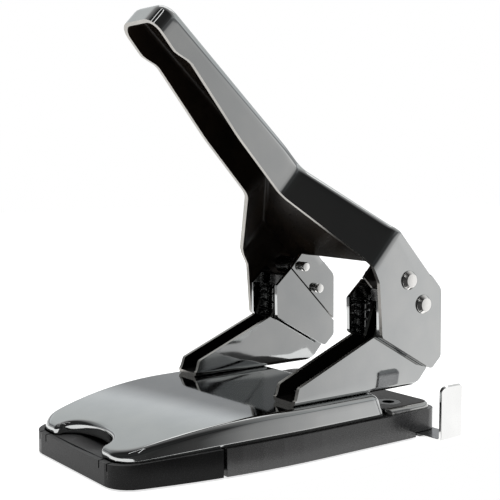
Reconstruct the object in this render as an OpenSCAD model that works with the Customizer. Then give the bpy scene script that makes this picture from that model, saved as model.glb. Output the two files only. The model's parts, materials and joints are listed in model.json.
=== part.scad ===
// Heavy duty two-hole punch: a forked sheet-steel lever on two punch brackets,
// a pressed deck and a die plate on a moulded base with a chip tray and a paper guide.
// Frame: +Z up from the table, +Y to the rear where the paper goes in, +X to the right.
// The origin is on the table under the middle of the base.

/* [Base] */
// Length of the base, front to rear
base_len = 174; // [165:1:210]
// Width of the base at the rear
base_w = 108; // [106:1:132]
// Height of the base's top above the table
base_h = 13.4; // [13:0.1:17]
// Wall of the moulded housing and tray
base_wall = 2.6; // [2:0.1:3]
// Roof of the housing
base_roof = 2; // [1.5:0.1:2.4]
// Thickness of the rubber mat under the base
mat_t = 0.6; // [0.4:0.1:1]
// Sheet of the floor plate under the tray
floor_t = 1.6; // [1:0.1:2]
// Radius of the base's top where it falls to the front
base_fall = 1310; // [1200:10:3000]
// Radius of the bowed front half of the sides
side_bow = 340; // [300:5:500]
// Length of the straight sides, from the rear
straight_len = 76; // [60:1:90]
// Radius of the front corners
front_corner = 13; // [8:0.5:18]
// Radius of the rear corners
rear_corner = 7; // [5:0.5:10]

/* [Chip tray] */
// Length of the tray's moulded front
tray_front_len = 46.4; // [40:0.5:52]
// Gap between the tray's front and the housing
tray_gap = 1.7; // [1:0.1:3]
// Gap between the tray's box and the housing's side walls
tray_side_gap = 1.7; // [1:0.1:4]
// Wall of the tray's box
tray_wall = 1.4; // [1.2:0.1:2]
// Thickness of the tray's floor
tray_floor = 1.5; // [1:0.1:2]
// Clearance above and below the sliding tray
slide_gap = 0.3; // [0.2:0.05:0.5]
// Width of the thumb well
well_w = 48; // [44:1:56]
// Length of the thumb well
well_len = 27; // [22:1:32]
// Radius of the thumb dish
dish_r = 60; // [40:1:80]
// Depth of the thumb dish
dish_depth = 2; // [1:0.1:2.6]

/* [Deck] */
// Top of the deck above the table
deck_h = 24.6; // [23:0.1:28]
// Sheet of the deck
deck_sheet = 2; // [1.5:0.1:2.4]
// Outer radius of the deck's folded edge
deck_fold = 3; // [2.6:0.1:3.6]
// Step from the base's side in to the deck's skirt
deck_inset = 1.6; // [1:0.1:3]
// Step from the base's front back to the deck's lip
deck_setback = 3; // [1:0.1:5]
// Length of the falling front of the deck
deck_slope_len = 73.6; // [60:0.1:76]
// Radius of the falling front of the deck
deck_bend = 286; // [270:1:400]
// Radius of the deck's front corners
deck_corner = 14; // [8:0.5:18]
// Lean of the deck's rear end, in degrees
deck_lean = 26; // [0:1:30]
// Radius of the deck's rear corners
deck_rear_corner = 4.6; // [4:0.1:8]
// Gap from the base up to the deck's skirt
skirt_gap = 0.3; // [0.2:0.1:1]
// Width of the thumb notch
notch_w = 41; // [36:1:46]
// Depth of the thumb notch
notch_depth = 11.8; // [10:0.1:14]
// Radius at the back of the thumb notch
notch_r = 9; // [6:0.1:11]
// Outer radius of the thumb notch's folded edge
notch_fold = 2; // [1:0.1:2.4]
// Radius of the lips beside the thumb notch
notch_lip_r = 2.5; // [2.5:0.1:4]

/* [Punching] */
// Distance between the two holes
hole_pitch = 80; // [70:1:84]
// Diameter of a punched hole
hole_d = 6; // [5:0.1:7]
// Distance from the paper's edge to the holes
hole_margin = 12; // [10:0.5:14]
// Distance from the holes to the rear of the base
hole_inset = 21; // [20:0.5:26]
// Thickness of the die plate
plate_t = 3; // [2.4:0.1:4]
// Radius of the die plate's upper edge
plate_round = 2.4; // [1:0.1:2.8]
// Step down from the die plate to its tongue under the deck
tongue_step = 0.8; // [0.5:0.1:1.2]
// Length of the die plate
plate_len = 84; // [78:1:86]
// Diameter of a die bush
die_d = 13; // [10:0.5:15]
// Radial clearance of a punch in its guide and of a pivot pin in its bracket
run_fit = 0.05; // [0.02:0.01:0.1]
// Radial clearance of a punch in its die
die_gap = 0.06; // [0.04:0.01:0.1]
// How far a resting punch is drawn up above the throat
punch_lift = 1; // [0.5:0.1:2]

/* [Brackets] */
// Width of a punch bracket
bracket_w = 16; // [14:0.5:17]
// Sheet of a punch bracket
bracket_sheet = 2; // [1.5:0.1:2.2]
// Outer radius of a bracket's bends
bracket_bend = 2.4; // [2.3:0.1:3.5]
// Height of a bracket's nose over the deck
nose_h = 8.2; // [6:0.1:12]
// Height of a bracket's apex over the deck
apex_h = 27; // [22:0.5:28]
// Diameter of a punch guide
guide_d = 11; // [9.5:0.1:11.6]
// Diameter of a punch guide's spigot
spigot_d = 9; // [8:0.1:9.2]
// Height of a punch guide above the bracket's web
guide_h = 17.4; // [14:0.1:18]
// Diameter of a bracket screw
screw_d = 5; // [4:0.5:6]
// Diameter of a bracket screw's head
screw_head_d = 9; // [8:0.5:11]
// Height of a bracket screw's head
screw_head_h = 3.4; // [2.5:0.1:5]
// Diameter of a spacer between the die plate and the deck
spacer_d = 10; // [9:0.5:14]

/* [Lever] */
// Distance from the holes back to the lever's pivot
pivot_back = 10.4; // [9.5:0.1:12]
// Height of the lever's pivot above the table
pivot_z = 65.5; // [64:0.5:70]
// Slope of the resting lever
lever_slope = 43; // [40:0.5:48]
// Sheet of the lever
lever_sheet = 2; // [1.6:0.1:2.4]
// Outer radius of the folded edges of the handle and flare
lever_fold = 4.1; // [3:0.1:4.5]
// Outer radius of the folded edges of the legs
leg_fold = 1.4; // [1:0.1:1.8]
// Height of the handle's back over the pivot, square to it
handle_rise = 19.4; // [18.5:0.1:21]
// Bend between the backs of the handle and of the legs
back_bend = 3.5; // [2:0.1:4]
// Distance from the pivot up to that bend
bend_len = 92; // [85:1:100]
// Length of the lever from the pivot to the handle's end
lever_len = 183.6; // [165:0.1:210]
// Width of the handle
handle_w = 30; // [26:0.5:36]
// Radius of the handle's end corners
handle_corner = 8; // [6:0.5:12]
// Distance from the pivot up to the upper bend of the flare
flare_top = 78.3; // [70:0.1:85]
// Radius of the flare's bends
flare_r = 9; // [7:0.5:12]
// Distance from the pivot up to the lower bend of the flare
flare_low = 39; // [37:0.1:44]
// Gap between a bracket and the cheek inside a leg
leg_gap = 0.6; // [0.4:0.1:1.5]
// Distance from the pivot up to the arch between the legs
arch_top = 12.6; // [10:0.5:16]
// Slit between the lever's flange and the leg stiffener
flange_slit = 0.8; // [0.5:0.1:1.5]

/* [Pins] */
// Diameter of the pins
pin_d = 5; // [4:0.1:6]
// Diameter of a pin's dome head
pin_head_d = 9.3; // [8:0.1:11]
// Height of a pin's dome head
pin_head_h = 2.8; // [1.5:0.1:4]
// Length of a pin's grooved end
pin_end = 5; // [4:0.1:7]
// Diameter of the groove in a pin's end
groove_d = 3.6; // [3:0.1:3.9]
// Forward distance from the pivot to the drive pin
drive_front = 10; // [9:0.1:11]
// Height of the drive pin over the pivot
drive_up = 12.4; // [11:0.1:13]
// Diameter of the sleeve that pushes a punch
sleeve_d = 9; // [8:0.1:10]
// Thickness of a punch's cap
cap_t = 6; // [5:0.1:8]
// Length of a punch's cap
cap_len = 14; // [12:0.5:16]
// Diameter of a pivot spacer
pivot_spacer_d = 8; // [7:0.1:8.4]
// Clearance between parts that pass each other
pass_gap = 0.3; // [0.2:0.05:0.5]

/* [Return springs] */
// Wire of a return spring
spring_wire = 1.1; // [0.8:0.1:1.3]
// Gap between a punch and its return spring
spring_gap = 1.1; // [0.8:0.1:1.3]
// Curls of a return spring
spring_curls = 7; // [5:1:8]

/* [Paper guide] */
// Sheet of the paper guide
guide_sheet = 1.5; // [1:0.1:1.8]
// Width of the paper guide
guide_w = 14.4; // [10:0.1:15]
// Height of the paper guide's upright
guide_up = 28; // [20:0.5:32]
// Reach of the resting guide from the base's side
guide_reach = 16; // [8:0.5:30]
// Length of the guide's blade inside the base
guide_blade = 74; // [60:1:80]
// Clearance of the guide's blade in its slot
guide_gap = 0.2; // [0.15:0.05:0.3]
// Inner radius of the guide's bend
guide_bend = 1; // [0.5:0.1:2]

/* [Hidden] */
$fn = 48;
eps = 0.01;
big = 400;

// Colours of the finishes
gunmetal = "#54575a";
black_plastic = "#1b1b1c";
dark_plate = "#33302e";
chrome = "#d8d8d6";
tool_steel = "#8d8f92";
black_rubber = "#101010";

// Places along the base
front_y = -base_len / 2;
rear_y = base_len / 2;
bow_y = rear_y - straight_len;
hole_y = rear_y - hole_inset;
stop_y = hole_y - hole_margin;
split_y = front_y + tray_front_len;
deck_front_y = front_y + deck_setback;
slope_y = deck_front_y + deck_slope_len;
plate_front_y = rear_y - plate_len;
pivot_y = hole_y + pivot_back;
screw_ys = [plate_front_y + 8, stop_y - 16];

// Heights of the stack on the base
roof_z = base_h - base_roof;
plate_top = base_h + plate_t;
tongue_top = plate_top - tongue_step;
deck_under = deck_h - deck_sheet;
web_top = deck_h + bracket_sheet;
cap_top = pivot_z + drive_up - sleeve_d / 2 - pass_gap;
cap_low = cap_top - cap_t;
punch_tip = deck_h + punch_lift;
guide_top = web_top + guide_h;
pin_r = pin_d / 2;
leg_w = bracket_w + 4 * lever_sheet + 2 * leg_gap;

// Corner arcs for an outline: each point is [x, y] or [x, y, radius]
function unit(v) = v / norm(v);
function corner(a, b, c, r, n) =
    let (u = unit(a - b), v = unit(c - b), half = acos(u * v) / 2,
         mid = b + unit(u + v) * r / sin(half),
         p = b + u * r / tan(half) - mid, q = b + v * r / tan(half) - mid,
         from = atan2(p.y, p.x), turn = (atan2(q.y, q.x) - from + 540) % 360 - 180)
    [for (i = [0 : n]) mid + r * [cos(from + turn * i / n), sin(from + turn * i / n)]];
function flat(p) = [p.x, p.y];
function rounded(pts, n = 6) =
    let (m = len(pts))
    [for (i = [0 : m - 1])
        each (len(pts[i]) < 3 ? [flat(pts[i])]
            : corner(flat(pts[(i + m - 1) % m]), flat(pts[i]), flat(pts[(i + 1) % m]), pts[i][2], n))];
function mirrored(pts) =
    [for (i = [len(pts) - 1 : -1 : 0]) [-pts[i].x, pts[i].y, if (len(pts[i]) > 2) pts[i][2]]];

// Solid between rings of like points; each ring is the right half, then its mirror image
module loft(rings) {
    n = len(rings[0]);
    half = n / 2;
    sides = [for (j = [0 : len(rings) - 2], k = [0 : n - 1])
        let (a = j * n + k, b = j * n + (k + 1) % n) each [[a, b, b + n], [a, b + n, a + n]]];
    top = (len(rings) - 1) * n;
    low_cap = [for (k = [0 : half - 2]) [n - 1 - k, n - 2 - k, k + 1, k]];
    top_cap = [for (k = [0 : half - 2]) [top + k, top + k + 1, top + n - 2 - k, top + n - 1 - k]];
    polyhedron(points = [for (r = rings) each r], faces = concat(sides, low_cap, top_cap));
}

// Outline drawn in Y and Z, extruded along X between two places
module along_x(x0, x1) {
    translate([x0, 0, 0])
        rotate([90, 0, 90])
            linear_extrude(x1 - x0)
                children();
}

// The right-hand bracket's place, or its mirror image on the left
module on_side(side) {
    mirror([side < 0 ? 1 : 0, 0, 0])
        translate([hole_pitch / 2, 0, 0])
            children();
}

// Half width of the base at a place along it: straight at the rear, bowed in to the front
function side_x(y) = base_w / 2 - (y < bow_y ? side_bow - sqrt(side_bow ^ 2 - (bow_y - y) ^ 2) : 0);
bow_steps = 8;
function bow_ys(end) = [for (i = [0 : bow_steps]) bow_y + (end - bow_y) * i / bow_steps];

// Plan of the base, drawn in by a distance
function base_plan(inset) =
    let (r = front_corner - inset,
         right = concat([[base_w / 2 - inset, rear_y - inset, max(rear_corner - inset, 1)]],
             [for (y = bow_ys(front_y + front_corner)) [side_x(y) - inset, y]],
             [[side_x(front_y) - inset, front_y + inset, r]]))
    rounded(concat(right, mirrored(right)));

// Height of the base's top along it: level at the rear, falling to the front
function base_top(y) = base_h - max(-y, 0) ^ 2 / (2 * base_fall);
module above_base() {
    along_x(-big / 2, big / 2)
        polygon(concat([for (i = [0 : 12]) let (y = (front_y - 2) * i / 12) [y, base_top(y)]],
            [[front_y - 2, base_h + 10], [0, base_h + 10]]));
}

// Part of the base's plan between two places along it
module base_area(inset, y0, y1) {
    intersection() {
        polygon(base_plan(inset));
        translate([-big / 2, y0])
            square([big, y1 - y0]);
    }
}

// Moulded housing: side walls, roof, rails beside the floor plate and a slot for the paper guide
guide_y0 = rear_y - 1 - guide_w;
guide_z = mat_t + 0.7;
slot_top = guide_z + guide_sheet + guide_gap;
block_front = guide_y0 - 1;
block_top = slot_top + 2;
floor_top = mat_t + floor_t;
floor_front = front_y + base_wall + 4.4;
floor_w = 2 * (side_x(floor_front) - base_wall - 2);
module base_housing() {
    color(black_plastic)
    difference() {
        union() {
            difference() {
                translate([0, 0, mat_t])
                    linear_extrude(base_h - mat_t)
                        base_area(0, split_y + tray_gap, rear_y);
                translate([0, 0, -eps])
                    linear_extrude(roof_z + eps)
                        base_area(base_wall, split_y, rear_y - base_wall);
            }
            translate([0, 0, mat_t])
                linear_extrude(block_top - mat_t)
                    base_area(base_wall - eps, block_front, rear_y - base_wall);
            translate([0, 0, mat_t])
                linear_extrude(floor_t)
                    difference() {
                        base_area(base_wall - eps, split_y + tray_gap, block_front + eps);
                        translate([-floor_w / 2, -big / 2])
                            square([floor_w, big]);
                    }
        }
        translate([-base_w / 2 + base_wall, guide_y0 - guide_gap, guide_z - guide_gap])
            cube([base_w, guide_w + 2 * guide_gap, guide_sheet + 2 * guide_gap]);
        translate([base_w / 2 - base_wall, guide_y0 - guide_gap, -1])
            cube([base_wall + 1, guide_w + 2 * guide_gap, slot_top + 1]);
        for (side = [-1, 1])
            translate([side * hole_pitch / 2, hole_y, roof_z - 1])
                cylinder(d = die_d - 2, h = base_roof + 2);
        rivet_places()
            rivet(0);
        above_base();
    }
}

// Floor plate between the rails, reaching forward under the tray
module floor_plate() {
    color(dark_plate)
    translate([-floor_w / 2, floor_front, mat_t])
        cube([floor_w, block_front - floor_front, floor_t]);
}

// Rubber mat under the floor plate and the housing's rails
module rubber_mat() {
    front_w = floor_w / 2 - 2;
    rear_w = base_w / 2 - base_wall - 6;
    step_y = split_y + tray_gap + 4;
    right = [[rear_w, guide_y0 - 2, 4], [rear_w, step_y, 4], [front_w, step_y, 2],
        [front_w, floor_front + 2, 4]];
    color(black_rubber)
    linear_extrude(mat_t)
        polygon(rounded(concat(right, mirrored(right))));
}

// Steel die plate: a rounded rear and a lower tongue that reaches forward under the deck
tongue_w = base_w - 2 * (deck_inset + deck_sheet + 4.4);
plate_side_gap = 0.4;
function plate_ring(inset, z) =
    let (x = base_w / 2 - deck_inset - inset,
         right = [[x, rear_y - deck_inset - inset, rear_corner - inset],
             [x, stop_y + plate_side_gap, plate_round + 0.6 - inset]])
    [for (p = rounded(concat(right, mirrored(right)))) [p.x, p.y, z]];
module die_plate() {
    color(dark_plate)
    difference() {
        union() {
            loft(concat([plate_ring(0, base_h)], [for (i = [0 : fold_steps]) let (a = 90 * i / fold_steps)
                plate_ring(plate_round * (1 - cos(a)), plate_top - plate_round * (1 - sin(a)))]));
            translate([-tongue_w / 2, plate_front_y, base_h])
                cube([tongue_w, stop_y + 4 - plate_front_y, tongue_top - base_h]);
        }
        for (side = [-1, 1])
            translate([side * hole_pitch / 2, 0, base_h - 1]) {
                translate([0, hole_y, 0])
                    cylinder(d = die_d, h = plate_t + 2);
                for (y = screw_ys)
                    translate([0, y, 0])
                        cylinder(d = screw_d, h = plate_t + 2);
            }
        rivet_places()
            translate([0, 0, base_h - 1])
                cylinder(d = rivet_d, h = plate_t + 2);
    }
}

// Rivets that hold the die plate on the housing's roof, sunk flush on the tray's side
rivet_d = 3.2;
rivet_head_d = 6;
rivet_head_h = 1.4;
rivet_sink = 1;
module rivet_places() {
    for (x = [-1, 1] * hole_pitch / 4, y = screw_ys)
        translate([x, y, 0])
            children();
}
module rivet(head_h) {
    sunk = [[0, roof_z], [rivet_d / 2 + rivet_sink, roof_z], [rivet_d / 2, roof_z + rivet_sink]];
    dome = [for (i = [0 : 6]) [rivet_head_d / 2 * cos(i * 15), tongue_top + head_h * sin(i * 15)]];
    rotate_extrude()
        polygon(head_h > 0 ? concat(sunk, [[rivet_d / 2, tongue_top]], dome)
            : concat(sunk, [[rivet_d / 2, tongue_top], [0, tongue_top]]));
}
module plate_rivets() {
    color(tool_steel)
    rivet_places()
        rivet(rivet_head_h);
}

// Hardened die bush, flush with the plate
module die_bush(side) {
    color(tool_steel)
    translate([side * hole_pitch / 2, hole_y, base_h])
        rotate_extrude()
            polygon([[hole_d / 2 + 0.6, 0], [die_d / 2, 0], [die_d / 2, plate_t - 0.4],
                [die_d / 2 - 0.4, plate_t], [hole_d / 2 + die_gap, plate_t], [hole_d / 2 + die_gap, 1]]);
}
module die_bush_right() {
    die_bush(1);
}
module die_bush_left() {
    die_bush(-1);
}

// Height of the deck's top along it, and its plan drawn in by a distance
function deck_top(y) = deck_h - (y < slope_y ? deck_bend - sqrt(deck_bend ^ 2 - (slope_y - y) ^ 2) : 0);
function deck_plan(inset) =
    let (in = deck_inset + inset,
         right = concat([[base_w / 2 - in, stop_y - inset, deck_rear_corner - inset]],
             [for (y = bow_ys(deck_front_y + deck_corner)) [side_x(y) - in, y]],
             [[side_x(deck_front_y) - in, deck_front_y + inset, deck_corner - inset]]))
    rounded(concat(right, mirrored(right)));
fold_steps = 4;

// The deck's rear end leans forward: the lean's share along the deck, and a point moved by it
function lean_share(y) = min(max((y - stop_y + 24) / 16, 0), 1);
function leaned(p, z) = [p.x, p.y - tan(deck_lean) * max(z - base_h, 0) * lean_share(p.y), z];
function deck_ring(inset, drop) = [for (p = deck_plan(inset)) leaned(p, deck_top(p.y) - drop)];

// Box with a folded upper edge: its wall's inset, the fold's radius and how far it reaches down
module deck_box(inset, r, extra) {
    loft(concat([[for (p = deck_plan(inset)) [p.x, p.y, base_top(p.y) + skirt_gap - extra]]],
        [for (i = [0 : fold_steps]) let (a = 90 * i / fold_steps)
            deck_ring(inset + r * (1 - cos(a)), inset + r * (1 - sin(a)))]));
}

// Thumb notch in the deck's front, let out by a distance: as a plain block, or with a folded edge
notch_back_r = min(notch_r, notch_depth - notch_lip_r - 0.2);
function notch_plan(out) =
    let (w = notch_w / 2 + out, lip = deck_front_y + 0.15 + out,
         right = [[w, deck_front_y + notch_depth + out, notch_back_r + out], [w, lip, notch_lip_r - out],
             [w + 20, lip - 0.5], [w + 20, deck_front_y - 10]])
    rounded(concat(right, mirrored(right)));
function notch_low(out) = [for (p = notch_plan(out)) [p.x, p.y, 0]];
function notch_ring(out, drop) = [for (p = notch_plan(out)) [p.x, p.y, deck_top(p.y) - drop]];
module notch_block(out) {
    loft([notch_low(out), notch_ring(out, -5)]);
}
module notch_cut() {
    loft(concat([notch_low(0)],
        [for (i = [0 : fold_steps]) let (a = 90 * i / fold_steps)
            notch_ring(notch_fold * (1 - cos(a)), notch_fold * (1 - sin(a)))],
        [notch_ring(notch_fold, -5)]));
}

// Pressed deck: flat at the rear, falling to the front, with a folded skirt and a paper stop
module deck_cover() {
    stop_top = tongue_top + skirt_gap;
    color(gunmetal)
    difference() {
        deck_box(0, deck_fold, 0);
        difference() {
            deck_box(deck_sheet, deck_fold - deck_sheet, 5);
            notch_block(deck_sheet);
        }
        notch_cut();
        translate([-tongue_w / 2 - plate_side_gap, stop_y - 8, base_h])
            cube([tongue_w + 2 * plate_side_gap, 10, stop_top - base_h]);
        for (side = [-1, 1], y = screw_ys)
            translate([side * hole_pitch / 2, y, deck_under - 1])
                cylinder(d = screw_d + 0.4, h = deck_sheet + 2);
    }
}

// Spacers that carry the deck on the die plate, under the bracket screws
module deck_spacers() {
    color(tool_steel)
    for (side = [-1, 1], y = screw_ys)
        translate([side * hole_pitch / 2, y, tongue_top])
            difference() {
                cylinder(d = spacer_d, h = deck_under - tongue_top);
                translate([0, 0, -1])
                    cylinder(d = screw_d + 0.4, h = deck_under - tongue_top + 2);
            }
}

// Socket screws through the bracket, the deck and a spacer into the die plate
socket_d = 4.6;
module bracket_screws() {
    color(tool_steel)
    for (side = [-1, 1], y = screw_ys)
        translate([side * hole_pitch / 2, y, 0])
            difference() {
                union() {
                    translate([0, 0, base_h])
                        cylinder(d = screw_d, h = web_top - base_h + eps);
                    translate([0, 0, web_top])
                        cylinder(d = screw_head_d, h = screw_head_h);
                }
                translate([0, 0, web_top + 1.2])
                    cylinder(d = socket_d, h = screw_head_h, $fn = 6);
            }
}

// Points of the lever and brackets in the side view, from the pivot: [back, up]
leg_back = 12.7;
bend_tan = tan(back_bend);
function back_z(s) = handle_rise - max(s + bend_len, 0) * bend_tan;
function from_lever(s, z) =
    [s * cos(lever_slope) + z * sin(lever_slope), z * cos(lever_slope) - s * sin(lever_slope)];
shoulder_s = (leg_back - (handle_rise - bend_len * bend_tan) * sin(lever_slope))
    / (cos(lever_slope) - bend_tan * sin(lever_slope));
leg_shoulder = from_lever(shoulder_s, back_z(shoulder_s));
leg_rear_low = [13, -27];
leg_tip = [6.5, -32.7];
leg_front_low = [-27, -13.8];
leg_front_top = [-29.1, 12.5];
shoulder_r = 5;
function leg_rear(up) =
    let (run = (up - leg_shoulder.y) / (leg_rear_low.y - leg_shoulder.y))
    leg_shoulder.x + (leg_rear_low.x - leg_shoulder.x) * run;
function from_pivot(p) = [pivot_y + p.x, pivot_z + p.y, if (len(p) > 2) p[2]];

// Side view of a bracket: a wedge on the deck, with an ear up to the pivot inside the leg
boss_r = 7.5;
stop_back = lever_sheet + pass_gap + 0.1;
nose_back = 2.5;
nose_y = -76.3;
function bracket_outline() =
    let (low = deck_h - pivot_z,
         ear = [for (a = [-10 : 20 : 190]) boss_r * [cos(a), sin(a)]])
    [for (p = rounded(concat(
        [[nose_y, low], [-2.1, low, 0.8], [2.7, low + 2.6, 0.8], [7.8, low + 7.9, 0.8]],
        [[leg_rear(-24) - stop_back, -24, 2], [leg_rear(-18) - stop_back, -18, 4]], ear,
        [[-14, -20, 3], [-27.5, low + apex_h, 1], [nose_y + nose_back, low + nose_h, 2]]), 4))
        from_pivot(p)];
module channel(half, low, r) {
    right = [[half, big], [half, low, r]];
    translate([0, big / 2, 0])
        rotate([90, 0, 0])
            linear_extrude(big)
                polygon(rounded(concat(right, mirrored(right))));
}
module bracket(side) {
    color(gunmetal)
    on_side(side)
        difference() {
            intersection() {
                along_x(-bracket_w / 2, bracket_w / 2)
                    polygon(bracket_outline());
                channel(bracket_w / 2, deck_h, bracket_bend);
            }
            channel(bracket_w / 2 - bracket_sheet, web_top, bracket_bend - bracket_sheet);
            translate([-bracket_w, pivot_y, pivot_z])
                rotate([0, 90, 0])
                    cylinder(r = pin_r + run_fit, h = 2 * bracket_w);
            translate([0, hole_y, deck_h - 1])
                cylinder(d = spigot_d, h = bracket_sheet + 2);
            for (y = screw_ys)
                translate([0, y, deck_h - 1])
                    cylinder(d = screw_d + 0.4, h = bracket_sheet + 2);
        }
}
module bracket_right() {
    bracket(1);
}
module bracket_left() {
    bracket(-1);
}

// Turned guide that steers a punch, seated by its spigot in the bracket's web
module punch_guide(side) {
    bore_r = hole_d / 2 + run_fit;
    color(tool_steel)
    on_side(side)
        translate([0, hole_y, 0])
            rotate_extrude()
                polygon([[bore_r, deck_h], [spigot_d / 2, deck_h], [spigot_d / 2, web_top],
                    [guide_d / 2, web_top], [guide_d / 2, guide_top - 0.6], [guide_d / 2 - 0.6, guide_top],
                    [bore_r, guide_top]]);
}
module punch_guide_right() {
    punch_guide(1);
}
module punch_guide_left() {
    punch_guide(-1);
}

// Chip tray: a moulded front in line with the housing and a long box under the dies
tray_box_w = 2 * (side_x(split_y + tray_gap) - base_wall - tray_side_gap);
box_low = floor_top + slide_gap;
box_top = roof_z - 2 * slide_gap;
box_rear = block_front - slide_gap - 0.3;
slit_w = 0.8;
slit_depth = 3.4;
slit_xs = [25, 31.5];
well_h = base_top(front_y);
module chip_tray() {
    inner_w = tray_box_w - 2 * tray_wall;
    box_front = front_y + tray_front_len - 8;
    color(black_plastic)
    difference() {
        union() {
            difference() {
                translate([0, 0, mat_t])
                    linear_extrude(base_h - mat_t)
                        base_area(0, front_y, split_y);
                translate([0, 0, box_low + tray_floor])
                    linear_extrude(big)
                        base_area(base_wall, front_y, split_y + 1);
                translate([0, 0, -1])
                    linear_extrude(box_low + 1)
                        base_area(base_wall, front_y, split_y + 1);
            }
            translate([-tray_box_w / 2, box_front, box_low])
                difference() {
                    cube([tray_box_w, box_rear - box_front, box_top - box_low]);
                    translate([tray_wall, -1, tray_floor])
                        cube([inner_w, box_rear - box_front - tray_wall + 1, big]);
                }
            translate([-well_w / 2, front_y + base_wall - eps, box_low])
                cube([well_w, well_len, well_h - box_low]);
        }
        translate([0, front_y + base_wall + well_len / 2 + 1, well_h + dish_r - dish_depth])
            sphere(r = dish_r, $fn = 96);
        above_base();
        for (side = [-1, 1], x = slit_xs)
            translate([side * x - slit_w / 2, front_y - 1, well_h - slit_depth])
                cube([slit_w, base_wall + 1 - eps, big]);
    }
}

// Paper guide: a blade in the housing's slot, bent up beside the base
module paper_guide() {
    face_x = base_w / 2 + guide_reach;
    in_x = face_x - guide_sheet;
    low = guide_z;
    r = guide_bend;
    in_end = base_w / 2 - guide_blade;
    outer = [[in_end, low], [face_x, low, r + guide_sheet], [face_x, guide_up - 2, 4],
        [face_x + 1, guide_up]];
    inner = [[in_x + 1, guide_up], [in_x, guide_up - 2, 4], [in_x, low + guide_sheet, r],
        [in_end, low + guide_sheet]];
    front = [[guide_y0, 0], [guide_y0 + guide_w, 0], [guide_y0 + guide_w, guide_up, 2.5],
        [guide_y0, guide_up, 2.5]];
    color(chrome)
    intersection() {
        translate([0, guide_y0 + guide_w, 0])
            rotate([90, 0, 0])
                linear_extrude(guide_w)
                    polygon(rounded(concat(outer, inner)));
        along_x(-big / 2, big / 2)
            polygon(rounded(front));
    }
}

// The lever's own frame at rest: X across, Y down its back, Z out of its back, from the pivot
module on_lever() {
    translate([0, pivot_y, pivot_z])
        rotate([-lever_slope, 0, 0])
            children();
}
function to_lever(p, r) =
    [p.x * cos(lever_slope) - p.y * sin(lever_slope), p.x * sin(lever_slope) + p.y * cos(lever_slope), r];

// Plan of the lever, drawn in by a distance: handle, flare and the legs' outer walls
leg_out = hole_pitch / 2 + leg_w / 2;
leg_in = hole_pitch / 2 - leg_w / 2;
leg_end = 40;
flare_turn = atan2(leg_out - handle_w / 2, flare_top - flare_low);
function lever_plan(inset) =
    let (w = handle_w / 2 - inset, shift = inset * tan(flare_turn / 2),
         right = [[leg_out - inset, leg_end], [leg_out - inset, shift - flare_low, flare_r - inset],
             [w, shift - flare_top, flare_r + inset], [w, inset - lever_len, handle_corner - inset]])
    rounded(concat(right, mirrored(right)));

// Channel of the lever with a folded edge: the wall's inset, the fold tighter on the legs
leg_depth = 60;
function fold_r(s) = lever_fold + (leg_fold - lever_fold) * min(max((s + flare_low + 3) / 6, 0), 1);
module lever_channel(inset) {
    plan = lever_plan(0);
    step = lever_plan(1) - plan;
    loft(concat([[for (p = lever_plan(inset)) [p.x, p.y, -leg_depth - inset]]],
        [for (i = [0 : fold_steps])
            [for (k = [0 : len(plan) - 1])
                let (a = 90 * i / fold_steps, r = max(fold_r(plan[k].y) - inset, 0.3),
                     p = plan[k] + (inset + r * (1 - cos(a))) * step[k])
                [p.x, p.y, back_z(p.y) - inset - r * (1 - sin(a))]]]));
}

// Side view of the lever: rim with a finger step, the flare and a leg
grip_end = lever_len - 18;
grip_start = grip_end - 8.6;
function lever_side() =
    rounded([[-lever_len - 5, handle_rise + 0.2], [-bend_len, handle_rise + 0.2],
        [shoulder_s, back_z(shoulder_s) + 0.2, shoulder_r], to_lever(leg_rear_low, 3), to_lever(leg_tip, 2.5),
        to_lever(leg_front_low, 2), to_lever(leg_front_top, 7), [-flare_low, -7.4, 12],
        [-flare_top, -0.6, 30], [-bend_len - 23, 2.2, 60], [-grip_start, 8.3, 7], [-grip_end, 5.7, 7],
        [-lever_len - 5, 8.4]]);

// Inner flange of a leg, folded down beside the arch to hold the pins' inner ends
slit_sum = -5.2;
strip_end = -4;
function flange_outline() =
    let (arch = from_lever(-arch_top, back_z(-arch_top)))
    [for (p = rounded([[-10.2, arch.y, 1.5], arch, [leg_shoulder.x, leg_shoulder.y, shoulder_r],
        [leg_rear(slit_sum - leg_rear(-18)), slit_sum - leg_rear(-18)], [slit_sum - 11.9, 11.9, 1.5]]))
        from_pivot(p)];
module pin_bores(x0, x1, r) {
    for (p = [[0, 0], [-drive_front, drive_up]])
        translate([x0, pivot_y + p.x, pivot_z + p.y])
            rotate([0, 90, 0])
                cylinder(r = r, h = x1 - x0);
}
module lever_frame() {
    color(gunmetal)
    difference() {
        union() {
            on_lever()
                intersection() {
                    difference() {
                        lever_channel(0);
                        lever_channel(lever_sheet);
                        translate([-leg_in, -arch_top, -leg_depth])
                            cube([2 * leg_in, big, big]);
                        for (side = [-1, 1])
                            translate([side * hole_pitch / 2, strip_end, -leg_depth])
                                translate([lever_sheet - leg_w / 2, 0, 0])
                                    cube([leg_w - 2 * lever_sheet, big, big]);
                    }
                    along_x(-big / 2, big / 2)
                        polygon(lever_side());
                }
            for (side = [-1, 1])
                mirror([side < 0 ? 1 : 0, 0, 0])
                    along_x(leg_in, leg_in + lever_sheet)
                        polygon(flange_outline());
        }
        pin_bores(-big / 2, big / 2, pin_r);
    }
}

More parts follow.
